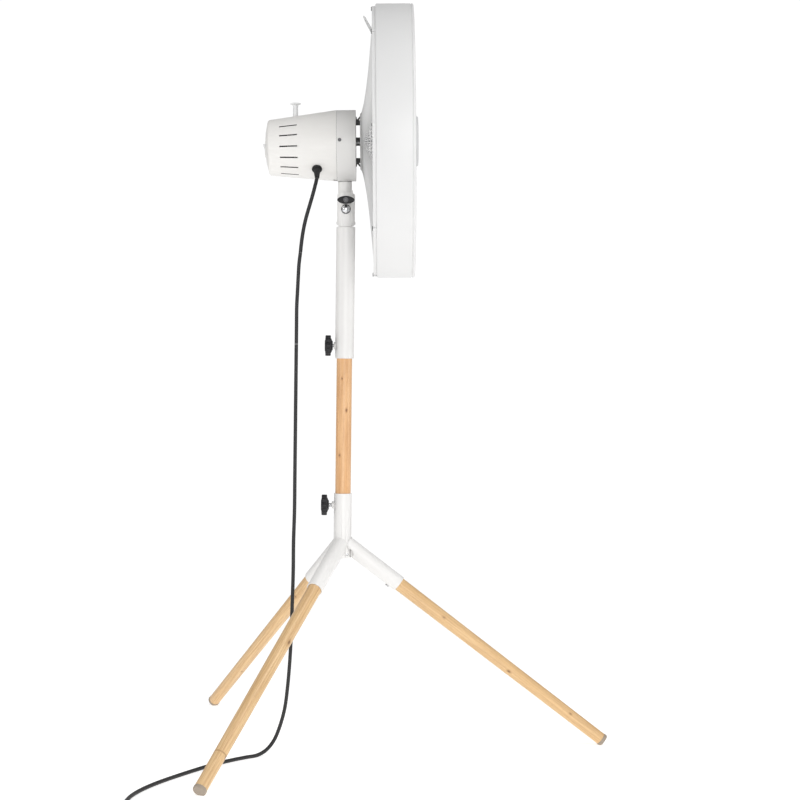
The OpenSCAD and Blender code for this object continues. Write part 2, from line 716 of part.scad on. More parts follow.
module drum_band() color([0.93, 0.93, 0.93])
    on_shaft() {
        ring_y(drum_front, drum_back, drum_r - drum_t, drum_r);
        ring_y(drum_front, drum_front + 1.6, drum_r - 5, drum_r - drum_t + eps);
        ring_y(drum_back - 1.6, drum_back, drum_r - 5, drum_r - drum_t + eps);
    }

module front_guard() color([0.93, 0.93, 0.92])
    on_shaft() {
        along_y(drum_front + 1.8, drum_front + 4.2, 38);
        round_y(wire_count) guard_bar([37, drum_front + 3], [rim_r - 1, drum_front + 3]);
        for (r = [90, 135, 180, rim_r - 1.2]) guard_hoop(r, drum_front + 3);
    }

module centre_cap() color([0.86, 0.86, 0.86])
    on_shaft() {
        along_y(drum_front - 4.5, drum_front + 1.8, badge_r);
        along_y(drum_front - 7.3, drum_front - 4.4, badge_r - 4, badge_r);
    }

// Clips that hold the rear guard's rim to the drum
module guard_clips() color([0.3, 0.3, 0.3])
    on_shaft() round_y(8, 1) {
        translate([rim_r + 0.1, drum_back + 0.1, -2.5]) cube([2.2, 7, 5]);
        translate([rim_r - 4.6, drum_back + 5.9, -2.5]) cube([6.9, 1.2, 5]);
    }

// ---------- cord ----------
module cord_span(route) color([0.07, 0.07, 0.07]) on_stand() swept_tube(route, cord_d / 2);
module cord_top() cord_span(TOP_ROUTE);
module cord_middle() cord_span(MIDDLE_ROUTE);
module cord_floor() cord_span(FLOOR_ROUTE);

module cord_coil() color([0.07, 0.07, 0.07])
    on_stand() translate([COIL_CENTRE[0], COIL_CENTRE[1], 0]) rotate_extrude()
        translate([coil_r - coil_half_w, 0]) square([2 * coil_half_w, cord_d]);

// Flat two-pin plug beside the coil, with a tapered tail
module mains_plug() color([0.07, 0.07, 0.07])
    on_stand() translate([plug_x, 0, plug_z]) {
        translate([-16.5, plug_front, -plug_z + 0.3]) cube([33, plug_back - plug_front, 13.4]);
        along_y(plug_back - eps, plug_back + 20, 5.6, cord_d / 2 + 0.6);
        for (x = [-9.5, 9.5]) translate([x, 0, 0]) along_y(plug_front - 19, plug_front + eps, 2.4);
    }

hub_socket();
hinge_pins();
wood_pole();
leg_socket_front();
leg_socket_left();
leg_socket_right();
leg_rod_front();
leg_rod_left();
leg_rod_right();
leg_screws_front();
leg_screws_left();
leg_screws_right();
foot_pad_front();
foot_pad_left();
foot_pad_right();
lower_clamp_knob();
upper_clamp_knob();
mast_tube();
tilt_yoke();
tilt_bolt();
acorn_nut();
tilt_wing_knob();
neck();
thrust_washer();
link_anchor();
drive_link();
crank_arm();
worm_wheel();
motor_frame();
motor_shell();
shell_screws();
stator_core();
stator_coils();
rear_bracket();
shaft_bushes();
through_bolts();
gearbox_case();
capacitor();
rotor_core();
rotor_shaft();
fan_blades();
spinner_nut();
pull_knob();
switch_body();
switch_rocker();
cord_grommet();
guard_standoffs();
rear_guard();
lifting_loop();
drum_band();
front_guard();
centre_cap();
guard_clips();
cord_top();
cord_middle();
cord_floor();
cord_coil();
mains_plug();
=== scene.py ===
"""Looks of the tripod pedestal fan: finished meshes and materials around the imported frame, in metres."""
import json
import math
from math import cos, pi, radians, sin

import bmesh
import bpy
from mathutils import Matrix, Vector

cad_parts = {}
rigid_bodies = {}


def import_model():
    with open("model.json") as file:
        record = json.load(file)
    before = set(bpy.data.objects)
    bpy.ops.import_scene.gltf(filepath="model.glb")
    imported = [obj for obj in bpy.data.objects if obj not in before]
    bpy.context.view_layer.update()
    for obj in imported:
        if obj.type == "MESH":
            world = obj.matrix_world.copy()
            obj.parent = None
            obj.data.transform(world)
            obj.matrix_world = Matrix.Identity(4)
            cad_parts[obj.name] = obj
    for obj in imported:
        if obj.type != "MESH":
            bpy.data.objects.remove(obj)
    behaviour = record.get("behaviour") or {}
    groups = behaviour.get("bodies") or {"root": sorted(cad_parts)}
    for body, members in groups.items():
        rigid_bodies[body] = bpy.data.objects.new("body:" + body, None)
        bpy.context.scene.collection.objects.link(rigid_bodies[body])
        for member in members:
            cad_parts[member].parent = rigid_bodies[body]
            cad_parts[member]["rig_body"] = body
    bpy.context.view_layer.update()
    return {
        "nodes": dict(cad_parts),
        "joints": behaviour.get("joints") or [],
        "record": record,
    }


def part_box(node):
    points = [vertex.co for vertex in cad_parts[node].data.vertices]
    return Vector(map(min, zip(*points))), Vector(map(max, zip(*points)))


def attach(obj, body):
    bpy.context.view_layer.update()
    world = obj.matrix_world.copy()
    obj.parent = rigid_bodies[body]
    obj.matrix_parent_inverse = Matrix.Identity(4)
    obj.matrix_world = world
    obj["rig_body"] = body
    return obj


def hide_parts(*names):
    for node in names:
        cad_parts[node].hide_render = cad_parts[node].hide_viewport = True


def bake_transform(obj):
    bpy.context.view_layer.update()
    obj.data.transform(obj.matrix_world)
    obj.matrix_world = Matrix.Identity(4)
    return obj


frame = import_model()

JOINTS = {joint["name"]: joint for joint in frame["joints"]}
SIDES = ("front", "left", "right")
MM = 0.001
X, Y, Z = Vector((1, 0, 0)), Vector((0, 1, 0)), Vector((0, 0, 1))


# ---------- places, all worked out from the joints ----------
def axes(origin, x, y, z):
    """From millimetres along x, y and z at origin to metres in the row frame."""
    turn = Matrix((x, y, z)).transposed().to_4x4()
    return Matrix.Translation(origin) @ turn @ Matrix.Scale(MM, 4)


TILT_POS = Vector(JOINTS["tilt"]["pos_m"])
FOOT_OF_COLUMN = Vector((TILT_POS.x, TILT_POS.y, 0))
COLUMN = axes(FOOT_OF_COLUMN, X, Y, Z)
BACK = -Vector(JOINTS["fan_spin"]["axis"]).normalized()
UP = X.cross(BACK)
SHAFT = axes(Vector(JOINTS["fan_spin"]["pos_m"]), X, BACK, UP)

# Each leg's frame: x up out of the leg, y along its hinge pin, z down the leg. It is a left-handed frame.
LEG_SLOPE = radians(37.1)
LEG_OFFSET = 13 * MM
LEGS = {}
for side in SIDES:
    hinge = JOINTS[f"fold_{side}"]
    across = Vector(hinge["axis"]).normalized()
    outwards = across.cross(Z)
    down_leg = outwards * cos(LEG_SLOPE) - Z * sin(LEG_SLOPE)
    above_leg = outwards * sin(LEG_SLOPE) + Z * cos(LEG_SLOPE)
    LEGS[side] = axes(Vector(hinge["pos_m"]) + above_leg * LEG_OFFSET, above_leg, across, down_leg)

# Sizes shared with the CAD frame, in millimetres
RING_DROP = 6.7                       # the housing's axis lies this far below the shaft
RING_FRONT, RING_BACK = -17, 14
RING_R, REAR_R = 58.6, 46             # radius of the housing at its ring and at its rear end
SHELL_DROOP = radians(1.5)
SHELL_LEN = 113
YOKE_FACE = 15.8                      # outer face of the fork, from the column's axis
WING_H = 14                           # clamp screw above the tilt bolt
DRUM_R = 224.5
DRUM_BACK, DRUM_FRONT = -50.2, -112.2
RIM_R = 220.5
GEAR_X, GEAR_Y = 15, 82.7             # axis of the worm wheel and of the pull-up knob
KNOB_R = 17
CORD_R = 3
GROMMET_Y = 47.4
GROMMET_ANGLE = radians(46.8)
SHELL = (SHAFT @ Matrix.Translation((0, RING_BACK, -RING_DROP)) @ Matrix.Rotation(-SHELL_DROOP, 4, "X"))
GROMMET = (SHELL @ Matrix.Translation((0, GROMMET_Y - RING_BACK, 0)) @ Matrix.Rotation(-GROMMET_ANGLE, 4, "Y")
           @ Matrix.Translation((-(RING_R - (RING_R - REAR_R) * (GROMMET_Y - RING_BACK) / SHELL_LEN), 0, 0)))


def add_object(name, data):
    obj = bpy.data.objects.new(name, data)
    bpy.context.scene.collection.objects.link(obj)
    return obj


# ---------- camera ----------
CAMERA_AT = Vector((-3.3359, -0.0533, 0.652))
CAMERA_YAW = radians(-0.67)
CAMERA_ROLL = radians(0.63)
CAMERA_LENS = 91.1
CAMERA_SHIFT = (-0.0007, -0.0625)


def make_camera():
    data = bpy.data.cameras.new("camera")
    data.lens = CAMERA_LENS
    data.shift_x, data.shift_y = CAMERA_SHIFT
    camera = add_object("camera", data)
    look = Vector((cos(CAMERA_YAW), sin(CAMERA_YAW), 0))
    upright = look.to_track_quat("-Z", "Y").to_matrix().to_4x4()
    camera.matrix_world = (Matrix.Translation(FOOT_OF_COLUMN + CAMERA_AT) @ upright
                           @ Matrix.Rotation(CAMERA_ROLL, 4, "Z"))
    bpy.context.scene.camera = camera


# ---------- materials ----------
class Graph:
    """A small helper that adds linked nodes to one material."""

    def __init__(self, name):
        self.material = bpy.data.materials.new(name)
        self.material.use_nodes = True
        self.tree = self.material.node_tree
        self.tree.nodes.clear()
        self.shader = self.tree.nodes.new("ShaderNodeBsdfPrincipled")
        output = self.tree.nodes.new("ShaderNodeOutputMaterial")
        self.link(self.shader.outputs[0], output.inputs[0])
        self.where = self.tree.nodes.new("ShaderNodeTexCoord").outputs["Object"]

    def link(self, source, target):
        self.tree.links.new(source, target)

    def feed(self, socket, value):
        """Links an output to the socket, or sets a plain value on it."""
        if hasattr(value, "is_output"):
            self.link(value, socket)
        else:
            socket.default_value = value

    def node(self, kind, inputs, **settings):
        node = self.tree.nodes.new(kind)
        for key, value in settings.items():
            setattr(node, key, value)
        for key, value in inputs.items():
            self.feed(node.inputs[key], value)
        return node

    def noise(self, where, scale, detail=3.0, rough=0.5, distort=0.0):
        return self.node("ShaderNodeTexNoise", {"Vector": where, "Scale": scale, "Detail": detail,
                                                "Roughness": rough, "Distortion": distort}).outputs["Fac"]

    def remap(self, value, low, high, to_low, to_high):
        return self.node("ShaderNodeMapRange", {"Value": value, "From Min": low, "From Max": high,
                                                "To Min": to_low, "To Max": to_high}).outputs[0]

    def mix(self, factor, a, b):
        """A colour between a and b. The mix node's colour sockets are inputs 6 and 7 and output 2."""
        return self.node("ShaderNodeMix", {0: factor, 6: a, 7: b}, data_type="RGBA").outputs[2]

    def maths(self, operation, a, b=0.0):
        return self.node("ShaderNodeMath", {0: a, 1: b}, operation=operation).outputs[0]

    def bump(self, height, distance, strength=1.0):
        inputs = {"Height": height, "Distance": distance, "Strength": strength}
        return self.node("ShaderNodeBump", inputs).outputs[0]

    def set(self, **values):
        for key, value in values.items():
            self.feed(self.shader.inputs[key.replace("_", " ")], value)


def rgb(colour, gain=1.0):
    return (*[min(1.0, c * gain) for c in colour], 1.0)


def moulded(name, colour, rough, grain=900.0, depth=0.00002, mottle=0.03, coat=0.0, specular=0.5):
    """Painted or moulded surface: fine grain, slow tone drift, and patches of slightly different gloss."""
    g = Graph(name)
    drift = g.noise(g.where, 14.0, 2.0)
    g.set(Base_Color=g.mix(drift, rgb(colour, 1 - mottle), rgb(colour, 1 + mottle)))
    fine = g.noise(g.where, grain, 2.0)
    patch = g.noise(g.where, 45.0, 3.0)
    spread = g.maths("ADD", g.maths("MULTIPLY", fine, 0.4), g.maths("MULTIPLY", patch, 0.6))
    g.set(Roughness=g.remap(spread, 0.3, 0.7, rough - 0.05, rough + 0.07))
    g.set(Normal=g.bump(fine, depth))
    g.set(Coat_Weight=coat, Coat_Roughness=0.25, Specular_IOR_Level=specular)
    return g.material


def metal(name, colour, rough, scratch=240.0, depth=0.000006):
    """Bare or plated metal, with fine drawn lines and smudges in the gloss."""
    g = Graph(name)
    lines = g.node("ShaderNodeMapping", {"Vector": g.where, "Scale": (scratch * 6, scratch, scratch * 6)})
    drawn = g.noise(lines.outputs[0], 1.0, 3.0)
    smudge = g.noise(g.where, 60.0, 3.0)
    g.set(Metallic=1.0)
    g.set(Base_Color=g.mix(smudge, rgb(colour, 0.94), rgb(colour, 1.04)))
    g.set(Roughness=g.remap(smudge, 0.3, 0.7, rough * 0.8, rough * 1.3))
    g.set(Normal=g.bump(drawn, depth))
    return g.material


def wood(name, pale, warm, dark, to_leg, seed, knots=(), rings=()):
    """Lacquered beech: long drawn-out grain, short flecks, slow tone changes, small knots and ring marks."""
    g = Graph(name)
    shift, turn, scale = to_leg.inverted().decompose()
    local = g.node("ShaderNodeMapping", {"Vector": g.where, "Location": shift,
                                         "Rotation": turn.to_euler("XYZ"), "Scale": scale}).outputs[0]
    # local is now in millimetres, with z along the grain
    bent = g.node("ShaderNodeVectorMath", {0: local, 1: (seed * 31.0, seed * 17.0, seed * 211.0)},
                  operation="ADD").outputs[0]

    def stretched(across, along):
        return g.node("ShaderNodeMapping", {"Vector": bent, "Scale": (across, across, along)}).outputs[0]

    tone = g.noise(stretched(0.045, 0.004), 1.0, 2.0)
    figure = g.noise(stretched(0.17, 0.0065), 1.0, 4.0, 0.6, 0.6)
    grain = g.noise(stretched(0.5, 0.012), 1.0, 4.0, 0.65)
    fleck = g.noise(stretched(2.0, 0.16), 1.0, 2.0, 0.6)
    bands = g.remap(figure, 0.36, 0.66, 0.0, 1.0)
    lines = g.remap(grain, 0.40, 0.68, 0.0, 1.0)
    colour = g.mix(g.remap(tone, 0.3, 0.7, 0.0, 1.0), rgb(pale), rgb(warm))
    colour = g.mix(g.maths("MULTIPLY", bands, 0.8), colour, rgb(warm, 0.94))
    colour = g.mix(g.maths("MULTIPLY", lines, 0.55), colour, rgb(dark))
    colour = g.mix(g.maths("MULTIPLY", g.remap(fleck, 0.58, 0.72, 0.0, 1.0), 0.5), colour, rgb(dark, 0.8))
    for along, angle, radius, size in knots:
        centre = (radius * cos(radians(angle)), radius * sin(radians(angle)), along)
        offset = g.node("ShaderNodeVectorMath", {0: local, 1: centre}, operation="SUBTRACT").outputs[0]
        squeezed = g.node("ShaderNodeVectorMath", {0: offset, 1: (1.0, 1.0, 0.55)},
                          operation="MULTIPLY").outputs[0]
        distance = g.node("ShaderNodeVectorMath", {0: squeezed}, operation="LENGTH").outputs["Value"]
        ragged = g.maths("ADD", distance, g.remap(grain, 0.3, 0.7, -0.8, 0.8))
        halo = g.remap(ragged, size * 2.2, size * 0.9, 0.0, 0.55)
        core = g.remap(ragged, size, size * 0.45, 0.0, 0.85)
        colour = g.mix(halo, colour, rgb(dark, 0.9))
        colour = g.mix(core, colour, KNOT_HEART)
    for along in rings:
        height = g.node("ShaderNodeSeparateXYZ", {0: local}).outputs["Z"]
        off = g.maths("ABSOLUTE", g.maths("SUBTRACT", height, along))
        ragged = g.maths("ADD", off, g.remap(grain, 0.3, 0.7, -0.9, 0.9))
        colour = g.mix(g.remap(ragged, 1.7, 0.4, 0.0, 0.65), colour, rgb(dark, 0.8))
    g.set(Base_Color=colour)
    g.set(Roughness=g.remap(grain, 0.3, 0.7, 0.34, 0.46))
    g.set(Normal=g.bump(grain, 0.00004, 0.7))
    g.set(Coat_Weight=0.25, Coat_Roughness=0.3)
    return g.material


def windings(name):
    """Lacquered copper wire laid side by side."""
    g = Graph(name)
    wave = g.node("ShaderNodeTexWave", {"Vector": g.where, "Scale": 900.0, "Distortion": 0.6, "Detail": 2.0},
                  bands_direction="Y")
    g.set(Metallic=0.9)
    g.set(Base_Color=g.mix(wave.outputs["Fac"], (0.32, 0.12, 0.05, 1), (0.62, 0.28, 0.12, 1)))
    g.set(Roughness=g.remap(wave.outputs["Fac"], 0.0, 1.0, 0.5, 0.3))
    g.set(Normal=g.bump(wave.outputs["Fac"], 0.0003, 0.8))
    return g.material


def laminations(name):
    """Stacked sheet steel seen on its edges."""
    g = Graph(name)
    wave = g.node("ShaderNodeTexWave", {"Vector": g.where, "Scale": 600.0, "Distortion": 0.2},
                  bands_direction="Y")
    rust = g.noise(g.where, 80.0, 4.0)
    g.set(Metallic=0.85)
    g.set(Base_Color=g.mix(g.remap(rust, 0.45, 0.75, 0.0, 0.6), (0.34, 0.34, 0.36, 1), (0.26, 0.2, 0.16, 1)))
    g.set(Roughness=g.remap(rust, 0.3, 0.7, 0.4, 0.6))
    g.set(Normal=g.bump(wave.outputs["Fac"], 0.0002, 0.6))
    return g.material


# Woods: the pale, the warm and the dark tone of the grain
LEG_BEECH = ((0.86, 0.62, 0.345), (0.76, 0.50, 0.24), (0.42, 0.215, 0.08))
POLE_BEECH = ((0.87, 0.57, 0.315), (0.77, 0.43, 0.19), (0.45, 0.20, 0.07))
KNOT_HEART = (0.16, 0.075, 0.03, 1.0)
# Knots: distance along the wood, angle round it, radius of the wood there, and size
POLE_KNOTS = ((552, 200, 12.6, 1.5), (604, 165, 12.6, 1.2), (478, 150, 12.6, 1.3))
LEG_KNOTS = {
    "front": ((190, -80, 11.3, 1.5), (330, -110, 10.8, 1.7), (455, -75, 10.4, 1.4)),
    "left": ((221, 76, 11.2, 2.6), (458, 103, 10.4, 1.9)),
    "right": ((150, 118, 11.4, 1.6), (400, 170, 10.6, 1.3)),
}
LEG_RINGS = {"front": (), "left": (456.0,), "right": ()}
# moulded takes colour, roughness, grain scale, grain depth, mottling, coat and specular. metal takes colour,
# roughness and scratch scale.
MATERIALS = {
    "white_metal": moulded("white_powder_coat", (0.80, 0.79, 0.775), 0.38, 1400, 0.000018, 0.012, 0.15),
    "housing_white": moulded("warm_white_housing", (0.815, 0.80, 0.775), 0.36, 1000, 0.000022, 0.012, 0.1),
    "housing_grey": moulded("cool_grey_frame", (0.72, 0.71, 0.695), 0.4, 1000, 0.00002, 0.015, 0.1),
    "guard_white": moulded("white_guard_coat", (0.74, 0.74, 0.738), 0.42, 1200, 0.000016, 0.012, 0.1),
    "cap_grey": moulded("pale_grey_cap", (0.62, 0.625, 0.63), 0.4, 1100, 0.000018, 0.015),
    "control_white": moulded("control_white", (0.82, 0.825, 0.825), 0.3, 1300, 0.00001, 0.01, 0.2),
    "blade_plastic": moulded("milky_blade", (0.80, 0.81, 0.82), 0.28, 700, 0.00002, 0.03, 0.2),
    "black_plastic": moulded("black_grained_plastic", (0.014, 0.014, 0.016), 0.42, 1500, 0.00004, 0.2,
                             specular=0.3),
    "dark_nylon": moulded("dark_nylon", (0.07, 0.07, 0.07), 0.5, 1200, 0.00003, 0.15),
    "cord_black": moulded("black_cord_sheath", (0.012, 0.012, 0.013), 0.55, 1100, 0.00003, 0.2),
    "foot_rubber": moulded("beige_foot_rubber", (0.36, 0.30, 0.24), 0.7, 1100, 0.00005, 0.08),
    "gear_nylon": moulded("cream_nylon", (0.82, 0.79, 0.68), 0.42, 900, 0.00002, 0.04),
    # dark primer for the inside of the housing, also painted shade there and on the vent slot walls
    "primer_and_painted_shade": moulded("dark_primer_and_painted_slot_shade", (0.05, 0.05, 0.05), 0.7, 900, 0.00003, 0.1),
    "screw_steel": metal("dark_zinc", (0.15, 0.15, 0.155), 0.4),
    "capacitor_case": moulded("capacitor_case", (0.16, 0.16, 0.18), 0.45, 900, 0.00003, 0.08),
    "steel": metal("zinc_steel", (0.60, 0.60, 0.61), 0.32),
    "chrome": metal("bright_chrome", (0.80, 0.81, 0.83), 0.07, 160.0, 0.000001),
    "cast_alloy": metal("cast_alloy", (0.66, 0.67, 0.68), 0.5, 120.0, 0.00003),
    "bush_bronze": metal("bush_bronze", (0.62, 0.45, 0.24), 0.45, 200.0, 0.00001),
    "lamination": laminations("steel_laminations"),
    "winding": windings("copper_windings"),
    "beech_pole": wood("beech_pole", *POLE_BEECH, COLUMN, 3.0, POLE_KNOTS),
}
for index, side in enumerate(SIDES):
    MATERIALS[f"beech_leg_{side}"] = wood(f"beech_leg_{side}", *LEG_BEECH, LEGS[side], 5.0 + index,
                                          LEG_KNOTS[side], LEG_RINGS[side])
SLOT_OF = {part["node"]: part["material_slot"] for part in frame["record"]["subparts"]}


# ---------- mesh tools; lengths are millimetres until piece() places them ----------
def ring_of(bm, count, at):
    return [bm.verts.new(at(2 * pi * k / count)) for k in range(count)]


def bridge(bm, a, b):
    count = len(a)
    for k in range(count):
        n = (k + 1) % count
        bm.faces.new((a[k], a[n], b[n], b[k]))


def on_axis(axis, along, p, q):
    """The point that lies at along on the axis and at p and q on the other two, in order."""
    return {"x": (along, p, q), "y": (p, along, q), "z": (p, q, along)}[axis]


def turned(bm, profile, count=96, axis="y", loop=False):
    """Surface of revolution: profile holds (radius, place along the axis)."""
    rings = []
    for r, h in profile:
        if r < 1e-6:
            rings.append([bm.verts.new(on_axis(axis, h, 0, 0))])
        else:
            rings.append(ring_of(bm, count, lambda t: on_axis(axis, h, r * cos(t), r * sin(t))))
    pairs = list(zip(rings, rings[1:])) + ([(rings[-1], rings[0])] if loop else [])
    for a, b in pairs:
        if len(a) == 1 and len(b) == 1:
            continue
        if len(a) == 1 or len(b) == 1:
            tip, rim = (a[0], b) if len(a) == 1 else (b[0], a)
            for k in range(count):
                bm.faces.new((tip, rim[k], rim[(k + 1) % count]))
        else:
            bridge(bm, a, b)


def rounded(points, radius, steps=4, loop=False):
    """The same outline with its corners turned into arcs. radius is one number or one for each corner."""
    out = []
    count = len(points)
    for i, point in enumerate(points):
        r = radius[i] if hasattr(radius, "__len__") else radius
        if r <= 0 or (not loop and i in (0, count - 1)):
            out.append(tuple(point))
            continue
        p, a, b = Vector(point), Vector(points[i - 1]), Vector(points[(i + 1) % count])
        to_a, to_b = (a - p), (b - p)
        bend = to_a.angle(to_b)
        if bend > radians(168):
            out.append(tuple(point))
            continue
        cut = min(r / math.tan(bend / 2), 0.49 * to_a.length, 0.49 * to_b.length)
        start, end = p + to_a.normalized() * cut, p + to_b.normalized() * cut
        for k in range(steps + 1):
            t = k / steps
            out.append(tuple(start * (1 - t) ** 2 + p * 2 * t * (1 - t) + end * t * t))
    return out


def swept(bm, path, radius, sides=12, loop=False):
    """A round wire or cord along a path."""
    points = [Vector(p) for p in path]
    count = len(points)
    rings, side = [], None
    for i, p in enumerate(points):
        before = points[i - 1] if (loop or i > 0) else p
        after = points[(i + 1) % count] if (loop or i < count - 1) else p
        ahead = (after - before).normalized()
        if side is None:
            side = ahead.orthogonal().normalized()
        side = (side - ahead * side.dot(ahead)).normalized()
        other = ahead.cross(side)
        rings.append(ring_of(bm, sides, lambda t: p + (side * cos(t) + other * sin(t)) * radius))
    for a, b in zip(rings, rings[1:]):
        bridge(bm, a, b)
    if loop:
        # join the last ring to the first at the vertex that lies nearest
        shift = min(range(sides), key=lambda s: (rings[0][s].co - rings[-1][0].co).length)
        bridge(bm, rings[-1], rings[0][shift:] + rings[0][:shift])
    else:
        bm.faces.new(list(reversed(rings[0])))
        bm.faces.new(rings[-1])


def smooth_path(points, step):
    """A Catmull-Rom curve through the points, cut into short steps."""
    pts = [Vector(p) for p in points]
    pts = [2 * pts[0] - pts[1]] + pts + [2 * pts[-1] - pts[-2]]
    out = []
    for a, b, c, d in zip(pts, pts[1:], pts[2:], pts[3:]):
        cuts = max(1, round((c - b).length / step))
        for k in range(cuts):
            t = k / cuts
            out.append(0.5 * ((2 * b) + (c - a) * t + (2 * a - 5 * b + 4 * c - d) * t * t
                              + (3 * b - a - 3 * c + d) * t ** 3))
    return out + [pts[-2]]


def extruded(bm, outline, low, high, axis="y"):
    """A closed outline pulled along an axis. The outline's two numbers are the other axes, in order."""
    a = [bm.verts.new(on_axis(axis, low, *p)) for p in outline]
    b = [bm.verts.new(on_axis(axis, high, *p)) for p in outline]
    bridge(bm, a, b)
    bm.faces.new(list(reversed(a)))
    bm.faces.new(b)


def mesh_of(bm, name):
    """A mesh made from bm, which is freed."""
    mesh = bpy.data.meshes.new(name)
    bm.to_mesh(mesh)
    bm.free()
    return mesh


def merge(bm, other):
    """Adds one bmesh to another and frees it."""
    mesh = mesh_of(other, "merged")
    bm.from_mesh(mesh)
    bpy.data.meshes.remove(mesh)


def block(bm, low, high):
    outline = [(low[0], low[1]), (high[0], low[1]), (high[0], high[1]), (low[0], high[1])]
    extruded(bm, outline, low[2], high[2], "z")


def wavy(count, radius):
    """A closed outline whose radius is a function of the angle."""
    outline = []
    for k in range(count):
        t = 2 * pi * k / count
        outline.append((radius(t) * cos(t), radius(t) * sin(t)))
    return outline


def soften(bm, width, segments=2, angle=28, above=None):
    """Rounds every edge that is sharper than angle, or only those higher than above."""
    bmesh.ops.recalc_face_normals(bm, faces=bm.faces)
    sharp = [e for e in bm.edges if len(e.link_faces) == 2 and e.calc_face_angle(0) > radians(angle)
             and (above is None or min(v.co.z for v in e.verts) > above)]
    bmesh.ops.bevel(bm, geom=sharp, offset=width, segments=segments, profile=0.5, affect="EDGES",
                    clamp_overlap=True)


def piece(name, bm, body, slot, place=None, stands_for=(), material=None, smooth=35):
    """Turns bm into an object that rides on a body and stands for the CAD nodes it is drawn over."""
    if place is not None:
        bm.transform(place)
    bmesh.ops.recalc_face_normals(bm, faces=bm.faces)
    mesh = mesh_of(bm, name)
    mesh.polygons.foreach_set("use_smooth", [True] * len(mesh.polygons))
    mesh.set_sharp_from_angle(angle=radians(smooth))
    mesh.materials.append(material or MATERIALS[slot])
    obj = add_object(name, mesh)
    if body:
        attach(obj, body)
    if stands_for:
        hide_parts(*stands_for)
    return obj


def carved(obj, cutters):
    """Cuts the closed bmesh cutters, in metres, out of obj."""
    temporary = []
    for index, bm in enumerate(cutters):
        bmesh.ops.recalc_face_normals(bm, faces=bm.faces)
        cut_name = f"{obj.name}_cut_{index}"
        cutter = add_object(cut_name, mesh_of(bm, cut_name))
        modifier = obj.modifiers.new("cut", "BOOLEAN")
        modifier.operation = "DIFFERENCE"
        modifier.solver = "EXACT"
        modifier.use_self = True
        modifier.object = cutter
        temporary.append(cutter)
    bpy.context.view_layer.update()
    done = obj.evaluated_get(bpy.context.evaluated_depsgraph_get())
    mesh = bpy.data.meshes.new_from_object(done)
    obj.modifiers.clear()
    old = obj.data
    obj.data = mesh
    bpy.data.meshes.remove(old)
    for cutter in temporary:
        data = cutter.data
        bpy.data.objects.remove(cutter)
        bpy.data.meshes.remove(data)
    return obj


def finished(node, width=0.4, segments=2, material=None, smooth=35, angle=28, above=None):
    """A CAD node's own shape with its triangles merged, its edges softened and its material on."""
    source = frame["nodes"][node]
    bm = bmesh.new()
    bm.from_mesh(source.data)
    bmesh.ops.remove_doubles(bm, verts=bm.verts, dist=2e-6)
    bmesh.ops.dissolve_limit(bm, angle_limit=radians(0.6), verts=bm.verts, edges=bm.edges)
    soften(bm, width * MM, segments, angle, above)
    slot = SLOT_OF[node]
    return piece(f"{node}_finished", bm, source["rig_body"], slot, None, (node,), material, smooth)


# ---------- cord ----------
TOP_ROUTE = ((-53, 47, 929), (-58, 48, 923), (-61, 50, 914), (-62, 53, 902), (-62, 58, 884), (-62, 63, 866),
             (-62, 67, 848), (-62, 70, 828), (-62, 72, 808))
MIDDLE_ROUTE = ((-62, 72, 807.7), (-62, 74, 790), (-62, 75, 770), (-62, 76, 745), (-62, 77, 720),
                (-62, 77, 690), (-62, 77, 660))
FLOOR_ROUTE = ((-62, 77, 659.7), (-62, 77, 630), (-62, 77, 590), (-62, 77, 540), (-62, 77, 490),
               (-62, 77, 440), (-62, 77, 390), (-62, 78, 340), (-62, 78, 290), (-62, 79, 240),
               (-63, 80, 190), (-64, 82, 145), (-66, 85, 105), (-69, 89, 72), (-74, 96, 45), (-81, 105, 23),
               (-91, 117, 9), (-104, 131, 3), (-120, 147, 3), (-142, 167, 3), (-168, 187, 3), (-198, 206, 3),
               (-232, 225, 3), (-266, 243, 3), (-300, 260, 3), (-335, 275, 3), (-370, 287, 3),
               (-405, 295, 3), (-437, 298, 3), (-458, 298, 3))
COIL_X, COIL_Y = -472, 264
COIL_OUTER = 34
COIL_PITCH = 6.4
COIL_STEP = 22                        # degrees between the coil's points
STEP_START, STEP_TURN = 352, 66       # where the lead starts to climb over the outer turn, and for how long
PLUG_X, PLUG_Z = -506, 7
PLUG_FRONT, PLUG_BACK = 194, 228
TAIL = 20


def coil_route():
    """One and a quarter turns that wind inwards, then the lead steps over the outer turn to the plug."""
    turns = []
    for k in range(1, 20):
        wound = COIL_STEP * k
        t = radians(90 + wound)
        r = COIL_OUTER - COIL_PITCH * wound / 360
        rise = max(0.0, wound - STEP_START) / STEP_TURN
        turns.append((COIL_X + r * cos(t), COIL_Y + r * sin(t), CORD_R + COIL_PITCH * min(1.0, rise)))
    return turns + [(PLUG_X + 3.4, COIL_Y + 1, 9.6), (PLUG_X + 1.2, COIL_Y - 8, 8.4),
                    (PLUG_X, PLUG_BACK + TAIL, PLUG_Z)]


def cord_piece(name, route, stands_for, with_pieces=()):
    """One span of the lead, swept along its route as a piece that rides on no body."""
    path = [COLUMN @ p for p in smooth_path(route, 5.0)]
    bm = bmesh.new()
    swept(bm, path, CORD_R * MM)
    obj = piece(name, bm, None, "cord_black", None, stands_for, smooth=60)
    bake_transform(obj)


